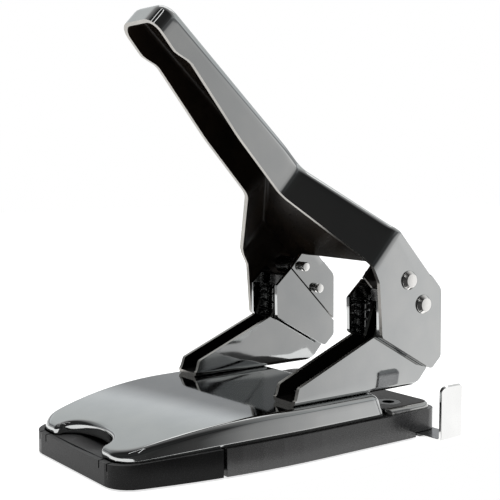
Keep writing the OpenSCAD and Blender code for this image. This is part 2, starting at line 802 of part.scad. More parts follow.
// Leg stiffener: two cheeks below the flange, joined by a strip that stops against the bracket
function cheek_outline() =
    let (sum = slit_sum - flange_slit * sqrt(2))
    [for (p = rounded([[leg_front_low.x, leg_front_low.y, 2], [leg_tip.x, leg_tip.y, 2.5],
        [leg_rear_low.x, leg_rear_low.y, 3], [leg_rear(sum - leg_rear(-18)), sum - leg_rear(-18)],
        [-17.7, sum + 17.7], [leg_front_low.x - 0.4, 2.9, 1]])) from_pivot(p)];
module stiffener(side) {
    inner = leg_in - hole_pitch / 2;
    outer = leg_w / 2 - lever_sheet;
    low = -26;
    top = -20;
    strip = [[leg_rear(low), low], [leg_rear(top), top], [leg_rear(top) - lever_sheet, top],
        [leg_rear(low) - lever_sheet, low]];
    color(gunmetal)
    on_side(side) {
        along_x(inner, inner + lever_sheet)
            polygon(cheek_outline());
        along_x(outer - lever_sheet, outer)
            polygon(cheek_outline());
        along_x(inner, outer)
            polygon([for (p = strip) from_pivot(p)]);
    }
}
module leg_stiffener_right() {
    stiffener(1);
}
module leg_stiffener_left() {
    stiffener(-1);
}

// Pin with a dome head outside the leg and a grooved end inside it, along +X
module pin(place) {
    in = -leg_w / 2 - pin_end;
    out = leg_w / 2;
    groove = [-leg_w / 2 - 2.6, -leg_w / 2 - 1.2];
    dome_r = (pin_head_d ^ 2 / 4 + pin_head_h ^ 2) / (2 * pin_head_h);
    dome_half = asin(pin_head_d / 2 / dome_r);
    shank = [[0, in], [pin_r - 0.4, in], [pin_r, in + 0.4], [pin_r, groove.x - 0.3], [groove_d / 2, groove.x],
        [groove_d / 2, groove.y], [pin_r, groove.y + 0.3], [pin_r, out]];
    dome = [for (i = [0 : 6]) let (a = dome_half * (1 - i / 6))
        [dome_r * sin(a), out + pin_head_h - dome_r * (1 - cos(a))]];
    translate([0, pivot_y + place.x, pivot_z + place.y])
        rotate([0, 90, 0])
            rotate_extrude()
                polygon(concat(shank, dome));
}
module pivot_pin_right() {
    color(chrome) on_side(1) pin([0, 0]);
}
module pivot_pin_left() {
    color(chrome) on_side(-1) pin([0, 0]);
}
module drive_pin_right() {
    color(chrome) on_side(1) pin([-drive_front, drive_up]);
}
module drive_pin_left() {
    color(chrome) on_side(-1) pin([-drive_front, drive_up]);
}

// Ring round a pin's axis between two places along X
module ring(place, d, x0, x1) {
    translate([x0, pivot_y + place.x, pivot_z + place.y])
        rotate([0, 90, 0])
            difference() {
                cylinder(d = d, h = x1 - x0);
                translate([0, 0, -1])
                    cylinder(d = pin_d, h = x1 - x0 + 2);
            }
}

// Spacers on the pivot pins between the legs and the brackets
module pivot_spacers() {
    clear = bracket_w / 2 + pass_gap;
    seat = leg_w / 2 - lever_sheet;
    color(tool_steel)
    for (side = [-1, 1])
        on_side(side) {
            ring([0, 0], pivot_spacer_d, clear, seat);
            ring([0, 0], pivot_spacer_d, -seat, -clear);
        }
}

// Sleeve on the drive pin that pushes the punch's cap
module push_sleeve(side) {
    half = bracket_w / 2 - bracket_sheet - 2 * pass_gap;
    color(tool_steel) on_side(side) ring([-drive_front, drive_up], sleeve_d, -half, half);
}
module push_sleeve_right() {
    push_sleeve(1);
}
module push_sleeve_left() {
    push_sleeve(-1);
}

// Punch: a ground pin with a notched cutting edge and a spigot for its cap
cap_spigot_d = 4.4;
module punch(side) {
    color(tool_steel)
    on_side(side)
        translate([0, hole_y, 0])
            difference() {
                union() {
                    translate([0, 0, punch_tip])
                        cylinder(d = hole_d, h = cap_low - punch_tip);
                    translate([0, 0, cap_low - eps])
                        cylinder(d = cap_spigot_d, h = cap_t - 2 + eps);
                }
                translate([-hole_d, 0, punch_tip - 1])
                    rotate([45, 0, 0])
                        cube([2 * hole_d, 1.8, 1.8]);
            }
}
module punch_right() {
    punch(1);
}
module punch_left() {
    punch(-1);
}

// Cap on a punch: a pad long enough for the sleeve's travel across it
module punch_cap(side) {
    half = bracket_w / 2 - bracket_sheet - pass_gap - 0.1;
    rear = 5.4;
    color(tool_steel)
    on_side(side)
        translate([0, hole_y, cap_low])
            difference() {
                linear_extrude(cap_t)
                    polygon(rounded([[half, rear, 2], [half, rear - cap_len, 2], [-half, rear - cap_len, 2],
                        [-half, rear, 2]], 4));
                translate([0, 0, -1])
                    cylinder(d = cap_spigot_d, h = cap_t - 2 + 1);
            }
}
module punch_cap_right() {
    punch_cap(1);
}
module punch_cap_left() {
    punch_cap(-1);
}

// Return spring round a punch: one helical tube from the guide up to the cap
wire_sides = 6;
curl_rings = 8;
spring_seat = 0.05;
spring_mean_r = hole_d / 2 + spring_gap + spring_wire / 2;
spring_low = guide_top + spring_wire / 2 + spring_seat;
spring_top = cap_low - spring_wire / 2 - spring_seat;
spring_rings = spring_curls * curl_rings;
function spring_point(i) =
    let (a = 360 * i / curl_rings)
    [spring_mean_r * cos(a), spring_mean_r * sin(a),
        spring_low + (spring_top - spring_low) * i / spring_rings];
function spring_ring(i) =
    let (a = 360 * i / curl_rings)
    [for (k = [0 : wire_sides - 1]) let (b = 360 * k / wire_sides)
        spring_point(i) + spring_wire / 2 * [cos(b) * cos(a), cos(b) * sin(a), sin(b)]];
least_gap = min([for (i = [0 : spring_rings - curl_rings], j = [i + curl_rings / 2 : spring_rings])
    norm(spring_point(i) - spring_point(j))]) - spring_wire;
echo(spring_least_gap = least_gap);
module return_spring(side) {
    n = wire_sides;
    tube = [for (i = [0 : spring_rings - 1], k = [0 : n - 1])
        let (a = i * n + k, b = i * n + (k + 1) % n) each [[a, a + n, b], [b, a + n, b + n]]];
    low_end = [for (k = [1 : n - 2]) [0, k, k + 1]];
    last = spring_rings * n;
    top_end = [for (k = [1 : n - 2]) [last, last + k + 1, last + k]];
    color(tool_steel)
    on_side(side)
        translate([0, hole_y, 0])
            polyhedron(points = [for (i = [0 : spring_rings]) each spring_ring(i)],
                faces = concat(tube, low_end, top_end));
}
module return_spring_right() {
    return_spring(1);
}
module return_spring_left() {
    return_spring(-1);
}

base_housing();
floor_plate();
rubber_mat();
die_plate();
plate_rivets();
die_bush_right();
die_bush_left();
deck_cover();
deck_spacers();
bracket_screws();
bracket_right();
bracket_left();
punch_guide_right();
punch_guide_left();
chip_tray();
paper_guide();
lever_frame();
leg_stiffener_right();
leg_stiffener_left();
pivot_pin_right();
pivot_pin_left();
pivot_spacers();
drive_pin_right();
drive_pin_left();
push_sleeve_right();
push_sleeve_left();
punch_right();
punch_left();
punch_cap_right();
punch_cap_left();
return_spring_right();
return_spring_left();
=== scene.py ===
"""Looks of a heavy duty two-hole punch: folded gunmetal steel on a black moulded base.

Shapes are worked out in millimetres in the frame of the punch and are put into meshes in metres.
"""
import json
from math import radians, tan

import bmesh
import bpy
import numpy as np
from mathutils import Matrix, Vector


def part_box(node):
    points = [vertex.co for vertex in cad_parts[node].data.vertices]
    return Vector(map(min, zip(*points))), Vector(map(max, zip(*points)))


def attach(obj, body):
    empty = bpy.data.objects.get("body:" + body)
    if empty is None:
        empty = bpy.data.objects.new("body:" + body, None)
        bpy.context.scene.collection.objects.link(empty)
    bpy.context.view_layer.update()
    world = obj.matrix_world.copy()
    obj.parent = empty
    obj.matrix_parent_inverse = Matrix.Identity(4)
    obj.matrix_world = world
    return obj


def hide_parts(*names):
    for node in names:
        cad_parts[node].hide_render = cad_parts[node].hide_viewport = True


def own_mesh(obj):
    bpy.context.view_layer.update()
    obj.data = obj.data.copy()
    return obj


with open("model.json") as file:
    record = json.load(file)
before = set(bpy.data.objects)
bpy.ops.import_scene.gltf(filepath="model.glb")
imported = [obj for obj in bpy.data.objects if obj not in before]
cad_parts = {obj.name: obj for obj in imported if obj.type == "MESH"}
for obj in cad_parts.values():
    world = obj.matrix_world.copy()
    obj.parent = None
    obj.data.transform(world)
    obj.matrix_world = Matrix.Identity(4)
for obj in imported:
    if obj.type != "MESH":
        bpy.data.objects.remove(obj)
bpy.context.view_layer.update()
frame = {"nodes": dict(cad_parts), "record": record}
nodes = frame["nodes"]
scene = bpy.context.scene
scene.view_settings.view_transform = "Standard"
MM = 0.001


# Camera
def photo_camera():
    """The photograph's camera: 74 mm lens, 53 degrees round to the right, 5 degrees down."""
    data = bpy.data.cameras.new("photo_camera")
    data.sensor_width = 36
    data.lens = 74.19
    data.clip_start = 0.02
    camera = bpy.data.objects.new("photo_camera", data)
    camera.location = (0.39996, -0.28816, 0.13667)
    camera.rotation_euler = (radians(90 - 5.1475), 0, radians(53.238))
    scene.collection.objects.link(camera)
    scene.camera = camera


# Node trees
class Tree:
    """A short way to write a node tree: nodes with their settings, and inputs as values or sockets."""

    def __init__(self, tree):
        self.tree = tree
        tree.nodes.clear()

    def add(self, kind, inputs=None, **settings):
        node = self.tree.nodes.new(kind)
        for name, value in settings.items():
            setattr(node, name, value)
        for name, value in (inputs or {}).items():
            self.feed(node, name, value)
        return node

    def feed(self, node, name, value):
        socket = node.inputs[name]
        if isinstance(value, bpy.types.NodeSocket):
            self.tree.links.new(value, socket)
        else:
            socket.default_value = value

    def ramp(self, value, stops):
        """Colour ramp over a value from -1 to 1; stops are (value, grey or colour)."""
        share = self.add("ShaderNodeMath", operation="MULTIPLY_ADD")
        self.tree.links.new(value, share.inputs[0])
        share.inputs[1].default_value = share.inputs[2].default_value = 0.5
        node = self.add("ShaderNodeValToRGB", {"Fac": share.outputs["Value"]})
        elements = node.color_ramp.elements
        while len(elements) < len(stops):
            elements.new(0.5)
        for element, (position, colour) in zip(elements, stops):
            element.position = position / 2 + 0.5
            rgb = (colour,) * 3 if np.isscalar(colour) else colour
            element.color = (*rgb, 1)
        return node.outputs["Color"]

    def dot(self, vector, direction):
        """Share of a vector along a direction."""
        node = self.add("ShaderNodeVectorMath", operation="DOT_PRODUCT")
        self.tree.links.new(vector, node.inputs[0])
        node.inputs[1].default_value = tuple(np.array(direction) / np.linalg.norm(direction))
        return node.outputs["Value"]

    def noise(self, scale, detail=2.0, stretch=(1, 1, 1)):
        """Noise on Object coordinates, in lumps per metre, drawn out where stretch is under one."""
        place = self.add("ShaderNodeTexCoord").outputs["Object"]
        drawn = self.add("ShaderNodeMapping", {"Vector": place, "Scale": stretch})
        inputs = {"Vector": drawn.outputs["Vector"], "Scale": scale, "Detail": detail}
        return self.add("ShaderNodeTexNoise", inputs).outputs["Fac"]


# Studio
# Stops of both ramps run over a share of the direction, from -1 to 1
WALL_AXIS = (-0.5225, 0.8526, -0.1)
WALL_STOPS = [(-0.6, 0.055), (-0.44, 0.045), (-0.28, 0.08), (-0.11, 0.38),
              (0.073, 0.58), (0.16, 0.66), (0.21, 0.85), (0.27, 1.0)]
GAP_GREY = (0.38, 0.39, 0.4)
HEIGHT_STOPS = [(0.156, 1.0), (0.2, GAP_GREY), (0.29, GAP_GREY), (0.345, (0.86, 0.89, 0.91)),
                (0.41, (0.72, 0.75, 0.75)), (0.545, (0.7, 0.72, 0.72)), (0.707, 0.6), (1.0, 0.5)]
LAMP_AIM = np.array((0, 0, 0.09))
FLOOR_LEFT, FLOOR_RIGHT, FLOOR_FRONT, FLOOR_REAR = -2, 0.07, -0.22, 2
FLOOR_Z = -0.0002
FLOOR_PAINT = (0.8, 0.8, 0.8, 1)
FLOOR_GLOW = 0.75


def studio_world():
    """A studio with white walls to the left and rear that fade out to a dark right front, and a
    dimmer ceiling above a gap over the walls."""
    world = bpy.data.worlds.new("studio")
    scene.world = world
    world.use_nodes = True
    t = Tree(world.node_tree)
    direction = t.add("ShaderNodeTexCoord").outputs["Generated"]
    walls = t.ramp(t.dot(direction, WALL_AXIS), WALL_STOPS)
    height = t.ramp(t.dot(direction, (0, 0, 1)), HEIGHT_STOPS)
    both = t.add("ShaderNodeMix", {"Factor": 1.0}, data_type="RGBA", blend_type="MULTIPLY")
    t.tree.links.new(walls, both.inputs["A"])
    t.tree.links.new(height, both.inputs["B"])
    shade = t.add("ShaderNodeBackground", {"Color": both.outputs["Result"], "Strength": 1.0})
    t.add("ShaderNodeOutputWorld", {"Surface": shade.outputs["Background"]})


def softbox(name, towards, distance, size, power, in_mirrors=True):
    """An area lamp that shines on the middle of the punch from a direction. One that is not seen in
    mirrors lights paint and plastic and leaves no image of itself in polished steel."""
    data = bpy.data.lights.new(name, "AREA")
    data.shape = "RECTANGLE"
    data.size, data.size_y = size
    data.energy = power
    lamp = bpy.data.objects.new(name, data)
    direction = np.array(towards) / np.linalg.norm(towards)
    lamp.location = direction * distance + LAMP_AIM
    lamp.rotation_euler = Vector(direction).to_track_quat("Z", "Y").to_euler()
    lamp.visible_glossy = in_mirrors
    scene.collection.objects.link(lamp)


def pale_floor():
    """A white table top with a faint shadow. Part of its white is a glow that only the camera,
    reflections and clear pieces see, so that it puts no diffuse light on the punch."""
    corners = [(FLOOR_LEFT, FLOOR_FRONT), (FLOOR_RIGHT, FLOOR_FRONT),
               (FLOOR_RIGHT, FLOOR_REAR), (FLOOR_LEFT, FLOOR_REAR)]
    mesh = bpy.data.meshes.new("floor")
    mesh.from_pydata([(*c, FLOOR_Z) for c in corners], [], [(0, 1, 2, 3)])
    floor = bpy.data.objects.new("floor", mesh)
    scene.collection.objects.link(floor)
    material = bpy.data.materials.new("floor")
    material.use_nodes = True
    t = Tree(material.node_tree)
    paint = t.add("ShaderNodeBsdfDiffuse", {"Color": FLOOR_PAINT})
    path = t.add("ShaderNodeLightPath").outputs
    seen = path["Is Camera Ray"]
    for ray in ("Is Glossy Ray", "Is Transmission Ray"):
        either = t.add("ShaderNodeMath", operation="MAXIMUM")
        t.tree.links.new(seen, either.inputs[0])
        t.tree.links.new(path[ray], either.inputs[1])
        seen = either.outputs["Value"]
    strength = t.add("ShaderNodeMath", operation="MULTIPLY")
    t.tree.links.new(seen, strength.inputs[0])
    strength.inputs[1].default_value = FLOOR_GLOW
    white = {"Color": (1, 1, 1, 1), "Strength": strength.outputs["Value"]}
    glow = t.add("ShaderNodeEmission", white)
    both = t.add("ShaderNodeAddShader")
    t.tree.links.new(paint.outputs["BSDF"], both.inputs[0])
    t.tree.links.new(glow.outputs["Emission"], both.inputs[1])
    t.add("ShaderNodeOutputMaterial", {"Surface": both.outputs["Shader"]})
    mesh.materials.append(material)


# Finishes
BLOTCH = 60


def finish(name, dark, light, roughness, grain=900, drawn=(1, 1, 1), lift=0.0, **sockets):
    """A finish on Object coordinates: its colour wanders softly between dark and light, its
    roughness between two values on a fine grain, which may be drawn out one way, and the same grain
    lifts the surface a little."""
    material = bpy.data.materials.new(name)
    material.use_nodes = True
    t = Tree(material.node_tree)
    colour = t.ramp(t.noise(BLOTCH), [(0.3, dark), (0.7, light)])
    fine = t.noise(grain, 3.0, drawn)
    rough = t.ramp(fine, [(0.25, roughness[0]), (0.75, roughness[1])])
    inputs = {"Base Color": colour, "Roughness": rough, **sockets}
    shader = t.add("ShaderNodeBsdfPrincipled", inputs)
    if lift:
        bump = t.add("ShaderNodeBump", {"Height": fine, "Distance": lift, "Strength": 0.5})
        t.feed(shader, "Normal", bump.outputs["Normal"])
    t.add("ShaderNodeOutputMaterial", {"Surface": shader.outputs["BSDF"]})
    return material


GUNMETAL = finish("gunmetal", (0.455, 0.465, 0.465), (0.495, 0.5, 0.495), (0.04, 0.085), Metallic=1.0)
# Near-black inner faces of the deck and brackets: painted shade, standing in for the shade inside the
# bent sheet
INSIDE_SHADE = finish("inside_painted_shade", (0.003, 0.003, 0.003), (0.007, 0.006, 0.005), (0.5, 0.7), lift=2e-5,
                **{"Specular IOR Level": 0.05})
# Dark brown-black inner faces of the lever: painted shade of the shaded inside of handle and legs, on
# sheet that is gunmetal throughout
LEVER_INSIDE_SHADE = finish("lever_inside_painted_shade", (0.02, 0.015, 0.012), (0.05, 0.035, 0.024), (0.25, 0.4), lift=2e-5,
                **{"Specular IOR Level": 0.3})
CUT_EDGE = finish("cut_edge", (0.33, 0.32, 0.3), (0.43, 0.415, 0.39), (0.22, 0.4), grain=3000,
                  Metallic=1.0)
PLASTIC = finish("black_plastic", (0.01, 0.01, 0.0105), (0.016, 0.016, 0.016), (0.2, 0.32),
                 grain=2600, lift=4e-5, **{"Specular IOR Level": 0.15})
HOUSING = finish("housing_plastic", (0.022, 0.022, 0.0225), (0.03, 0.03, 0.03), (0.2, 0.32),
                 grain=2600, lift=4e-5, **{"Specular IOR Level": 0.9})
GRAINED = finish("grained_plastic", (0.05, 0.05, 0.051), (0.07, 0.07, 0.07), (0.5, 0.65),
                 grain=2600, lift=4e-5)
PLATE_EDGE = finish("plate_edge", (0.4, 0.4, 0.39), (0.48, 0.48, 0.47), (0.08, 0.14), Metallic=1.0)
# Darker metal on the back of the chrome guide: painted shade of its unlit side, which shows in the
# brackets' reflections
GUIDE_BACK_SHADE = finish("guide_back_painted_shade", (0.3, 0.3, 0.31), (0.38, 0.38, 0.385), (0.15, 0.25), Metallic=1.0)
# Near-black finish for the die plate's level top: painted shade and painted dark reflection on steel
# that is the same as its lighter metal edges
PLATE_TOP_SHADE = finish("dark_plate", (0.012, 0.01, 0.008), (0.02, 0.016, 0.013), (0.3, 0.4), lift=1e-5,
               **{"Specular IOR Level": 0.08})
PIN_STEEL = finish("pin_steel", (0.8, 0.79, 0.77), (0.92, 0.91, 0.89), (0.14, 0.24), Metallic=1.0)
CHROME = finish("chrome", (0.9, 0.9, 0.89), (0.96, 0.96, 0.95), (0.03, 0.08), Metallic=1.0)
STEEL = finish("tool_steel", (0.17, 0.17, 0.17), (0.25, 0.25, 0.245), (0.18, 0.34), grain=1500,
               drawn=(0.15, 0.15, 1), lift=1e-5, Metallic=1.0)
BUSH_STEEL = finish("bush_steel", (0.05, 0.05, 0.048), (0.07, 0.07, 0.068), (0.25, 0.35), Metallic=1.0)
RUBBER = finish("black_rubber", (0.012, 0.012, 0.012), (0.022, 0.022, 0.021), (0.7, 0.9), grain=2000,
                lift=5e-5)
SLOTS = {"gunmetal": GUNMETAL, "black_plastic": PLASTIC, "dark_plate": PLATE_TOP_SHADE, "chrome": CHROME,
         "tool_steel": STEEL, "black_rubber": RUBBER}


# Lines
ROUNDING = 1e-6


def unit(v):
    """A vector's direction, with a length of one."""
    return v / np.linalg.norm(v)


def rounded(corners, steps=8):
    """A line through corners (u, v, radius): an arc that touches both sides replaces a corner."""
    flat = [np.array(c[:2], float) for c in corners]
    line = [flat[0][None]]
    for before, here, after, corner in zip(flat, flat[1:], flat[2:], corners[1:]):
        radius = corner[2] if len(corner) > 2 else 0
        if not radius:
            line.append(here[None])
            continue
        u, v = unit(before - here), unit(after - here)
        half = np.arccos(np.clip(u @ v, -1, 1)) / 2
        middle = here + unit(u + v) * radius / np.sin(half)
        p = here + u * radius / np.tan(half) - middle
        q = here + v * radius / np.tan(half) - middle
        start = np.arctan2(p[1], p[0])
        turn = (np.arctan2(q[1], q[0]) - start + 3 * np.pi) % (2 * np.pi) - np.pi
        angle = start + turn * np.linspace(0, 1, steps + 1)
        line.append(middle + radius * np.stack([np.cos(angle), np.sin(angle)], 1))
    line.append(flat[-1][None])
    return np.vstack(line)


def shares(line):
    """How far along a line each of its points is, as a share of its length."""
    run = np.append(0, np.cumsum(np.linalg.norm(np.diff(line, axis=0), axis=1)))
    return run / run[-1]


def at(line, where, scale=None):
    """Points of a line at places counted in points, or measured on a scale of the points."""
    scale = np.arange(len(line)) if scale is None else scale
    return np.stack([np.interp(where, scale, column) for column in line.T], 1)


def places(line, step):
    """Places along a line, counted in points, so that none is further than step from the next."""
    lengths = np.linalg.norm(np.diff(line, axis=0), axis=1)
    counts = np.maximum(np.ceil(lengths / step), 1).astype(int)
    first = np.repeat(np.append(0, np.cumsum(counts)[:-1]), counts)
    segment = np.repeat(np.arange(len(counts)), counts)
    return np.append(segment + (np.arange(counts.sum()) - first) / counts[segment], len(counts))


def ruled(low, top, count, measure=shares):
    """Like points of two lines, at equal shares of them: the points of both, and count more."""
    a, b = measure(low), measure(top)
    t = np.unique(np.concatenate([a, b, np.linspace(0, 1, count)]).round(3))
    return at(low, t, a), at(top, t, b)


def level_shares(line):
    """How far along the first coordinate each point of a line is, as a share of its reach."""
    return (line[:, 0] - line[0, 0]) / (line[-1, 0] - line[0, 0])


def between(a, b, count):
    """Grid of points on straight lines from like points of a to those of b."""
    v = np.linspace(0, 1, count)[None, :, None]
    return a[:, None] + (b - a)[:, None] * v


def mirrored(patches):
    """The same grids on the other side of the middle plane, still facing outwards."""
    return [p[:, ::-1] * np.array([-1, 1, 1]) for p in patches]


# Meshes
# Spacing below which points are one: millimetres on a grid, metres on a copy
WELD = 1e-4
MERGE = 1e-6
# Square metres above which a face stays flat, and how far up the normal of a level face points
LARGE_FACE = 1e-4
LEVEL = 0.9
# Angle below which faces become one, and angles above which edges stay sharp or are eased
FLAT_ANGLE = radians(0.05)
GRID_CREASE, COPY_CREASE, EASED_CREASE = radians(32), radians(30), radians(40)


def mesh_piece(name, patches, finishes, body, replaced):
    """One mesh of grids of points: four neighbours make a face, and points that meet are welded."""
    points = np.concatenate([p.reshape(-1, 3) for p in patches])
    starts = np.append(0, np.cumsum([p.shape[0] * p.shape[1] for p in patches]))
    quads = np.concatenate([grid_faces(p.shape, start) for p, start in zip(patches, starts)])
    cells = np.round(points / WELD).astype(np.int64)
    _, kept, same = np.unique(cells, axis=0, return_index=True, return_inverse=True)
    quads = same.reshape(-1)[quads]
    meets = quads == np.roll(quads, -1, axis=1)
    flat = (quads[:, 0] == quads[:, 2]) | (quads[:, 1] == quads[:, 3]) | (meets.sum(1) > 1)
    whole = quads[~meets.any(1) & ~flat]
    narrow = quads[meets.any(1) & ~flat]
    lost = np.argmax(narrow == np.roll(narrow, -1, axis=1), axis=1)
    keep = (lost[:, None] + 1 + np.arange(3)) % 4
    triangles = np.take_along_axis(narrow, keep, axis=1)
    mesh = bpy.data.meshes.new(name)
    mesh.from_pydata((points[kept] * MM).tolist(), [], whole.tolist() + triangles.tolist())
    mesh.polygons.foreach_set("use_smooth", np.ones(len(mesh.polygons), bool))
    mesh.set_sharp_from_angle(angle=GRID_CREASE)
    return piece(name, mesh, finishes, body, replaced)


def grid_faces(shape, start):
    """Corner numbers of a grid's faces, the grid's points counted row by row from start."""
    number = start + np.arange(shape[0] * shape[1]).reshape(shape[:2])
    corners = [number[:-1, :-1], number[1:, :-1], number[1:, 1:], number[:-1, 1:]]
    return np.stack(corners, 2).reshape(-1, 4)


def piece(name, mesh, finishes, body, replaced):
    """The object of a mesh, on its body, with its finishes, in place of the nodes it stands for."""
    thing = bpy.data.objects.new(name, mesh)
    scene.collection.objects.link(thing)
    for material in finishes:
        mesh.materials.append(material)
    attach(thing, body)
    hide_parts(*replaced)
    return thing


def thicken(thing, sheet, even=True):
    """Gives a surface its sheet, inwards: the second finish inside, which paints the shade of the inner
    faces, and the third on the cut edges.
    """
    modifier = thing.modifiers.new("sheet", "SOLIDIFY")
    modifier.thickness = sheet * MM
    modifier.offset = -1
    modifier.use_even_offset = even
    modifier.material_offset = 1
    modifier.material_offset_rim = 2


def ease(thing, width):
    """Breaks the sharp edges of a piece with a small round."""
    modifier = thing.modifiers.new("eased", "BEVEL")
    modifier.width = width * MM
    modifier.segments = 2
    modifier.limit_method = "ANGLE"
    modifier.angle_limit = EASED_CREASE
    modifier.harden_normals = True


def box_mm(node):
    """Lowest and highest corner of a CAD node in millimetres."""
    low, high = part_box(node)
    return np.array(low) / MM, np.array(high) / MM


# Pieces that keep their CAD form, with eased edges
BODIES = frame["record"]["behaviour"]["bodies"]
BODY_OF = {node: body for body, members in BODIES.items() for node in members}
SLOT_OF = {part["node"]: part["material_slot"] for part in frame["record"]["subparts"]}


def large_faces_flat(mesh):
    """Marks the edges round large faces sharp, so that small faces beside them do not shade them."""
    area = np.empty(len(mesh.polygons))
    mesh.polygons.foreach_get("area", area)
    size = np.empty(len(mesh.polygons), np.int32)
    mesh.polygons.foreach_get("loop_total", size)
    edge_of = np.empty(len(mesh.loops), np.int32)
    mesh.loops.foreach_get("edge_index", edge_of)
    sharp = np.zeros(len(mesh.edges), bool)
    mesh.edges.foreach_get("use_edge_sharp", sharp)
    sharp[edge_of[np.repeat(area, size) > LARGE_FACE]] = True
    mesh.edges.foreach_set("use_edge_sharp", sharp)


def eased_copy(node, width, finishes=None):
    """A copy of a CAD piece: its loose triangles merged, its flat faces made whole, its edges eased.
    Of two finishes the second is for the faces that lie level."""
    mesh = bpy.data.meshes.new(node + "_eased")
    edit = bmesh.new()
    edit.from_mesh(nodes[node].data)
    bmesh.ops.remove_doubles(edit, verts=edit.verts, dist=MERGE)
    bmesh.ops.dissolve_limit(edit, angle_limit=FLAT_ANGLE, verts=edit.verts, edges=edit.edges)
    edit.to_mesh(mesh)
    edit.free()
    mesh.materials.clear()
    mesh.polygons.foreach_set("use_smooth", np.ones(len(mesh.polygons), bool))
    mesh.set_sharp_from_angle(angle=COPY_CREASE)
    large_faces_flat(mesh)
    finishes = finishes or [SLOTS[SLOT_OF[node]]]
    if len(finishes) > 1:
        normals = np.empty(len(mesh.polygons) * 3)
        mesh.polygons.foreach_get("normal", normals)
        level = normals[2::3] > LEVEL
        mesh.polygons.foreach_set("material_index", level.astype(np.int32))
    thing = piece(node + "_eased", mesh, finishes, BODY_OF[node], [node])
    ease(thing, width)


# Deck: a pressed sheet with a folded skirt, a falling front with a thumb notch, a leaning rear end
DECK_LOW, DECK_HIGH = box_mm("deck_cover")
BASE_HALF = box_mm("base_housing")[1][0]
BASE_H = box_mm("base_housing")[1][2]
DECK_INSET = BASE_HALF - DECK_HIGH[0]
DECK_SHEET = 2.0
DECK_FOLD, NOTCH_FOLD = 3.0, 2.0
DECK_FRONT, DECK_REAR, DECK_H = DECK_LOW[1], DECK_HIGH[1], DECK_HIGH[2]
SIDE_BOW, BOW_Y = 340.0, 11.0
BASE_FALL = 1310.0
SLOPE_Y, DECK_BEND = DECK_FRONT + 73.6, 286.0
DECK_LEAN, LEAN_REACH, LEAN_EASE = tan(radians(26)), 24, 16
DECK_CORNER, DECK_REAR_CORNER, NOTCH_LIP_R = 14, 4.6, 2.5
SKIRT_GAP = 0.3
DECK_STEP = 1.2
TONGUE_HALF = 46.4
TONGUE_TOP = 15.9
NOTCH_HALF, NOTCH_DEPTH, NOTCH_FOOT = 20.5, 11.8, 2.6
QUIET_FRONT, QUIET_REAR = -58.0, 40.0
# Points of the front outline: where its fold widens past the notch, and shares of the deck's width
FOLD_WIDENS = (49, 57)
FRONT_SHARES = ((0, 8, 16, 24, 32, 33, 49, 50, 66, 72),
                (0, 0.222, 0.41, 0.536, 0.58, 0.585, 0.65, 0.71, 0.95, 1))


def side_x(y):
    """Half width of the base along it: straight at the rear, on an arc in to the front."""
    back = np.maximum(BOW_Y - np.asarray(y, float), 0)
    return BASE_HALF - (SIDE_BOW - np.sqrt(SIDE_BOW ** 2 - back ** 2))


def deck_top(y):
    """Height of the deck along it: level at the rear, on an arc down to the front."""
    fall = np.maximum(SLOPE_Y - y, 0)
    return DECK_H - (DECK_BEND - np.sqrt(DECK_BEND ** 2 - fall ** 2))


def base_top(y):
    """Height of the base along it: level at the rear, on a parabola down to the front."""
    return BASE_H - np.maximum(-y, 0) ** 2 / (2 * BASE_FALL)


def leaned(xy, z):
    """Points of the deck at heights z: near the rear end they move forward the higher they are."""
    share = np.clip((xy[..., 1] - DECK_REAR + LEAN_REACH) / LEAN_EASE, 0, 1)
    y = xy[..., 1] - DECK_LEAN * np.maximum(z - BASE_H, 0) * share
    return np.stack([xy[..., 0], y, z], -1)


def deck_front_line(inset):
    """Right half of the deck's front outline, drawn in: a quarter of an ellipse for the notch, its
    lip, the front corner and the start of the side."""
    lip, foot = DECK_FRONT + inset, DECK_FRONT + NOTCH_FOOT
    notch = NOTCH_HALF + inset
    turn = np.linspace(0, np.pi / 2, 33)
    depth = NOTCH_DEPTH - NOTCH_FOOT + inset
    curve = np.stack([notch * np.sin(turn), foot + depth * np.cos(turn)], 1)
    ys = np.linspace(DECK_FRONT + DECK_CORNER, QUIET_FRONT, 6)
    side = np.stack([side_x(ys) - DECK_INSET - inset, ys], 1).tolist()
    corner = (side_x(DECK_FRONT) - DECK_INSET - inset, lip, DECK_CORNER - inset)
    rest = rounded([(notch, foot), (notch, lip, NOTCH_LIP_R - inset), corner, *side], 16)
    return np.concatenate([curve, rest[1:]])


def deck_rear_line(inset):
    """Right half of the deck's rear outline, drawn in, from the middle to the side."""
    x, y = DECK_HIGH[0] - inset, DECK_REAR - inset
    return rounded([(0, y), (x, y, DECK_REAR_CORNER - inset), (x, QUIET_REAR)], 12)


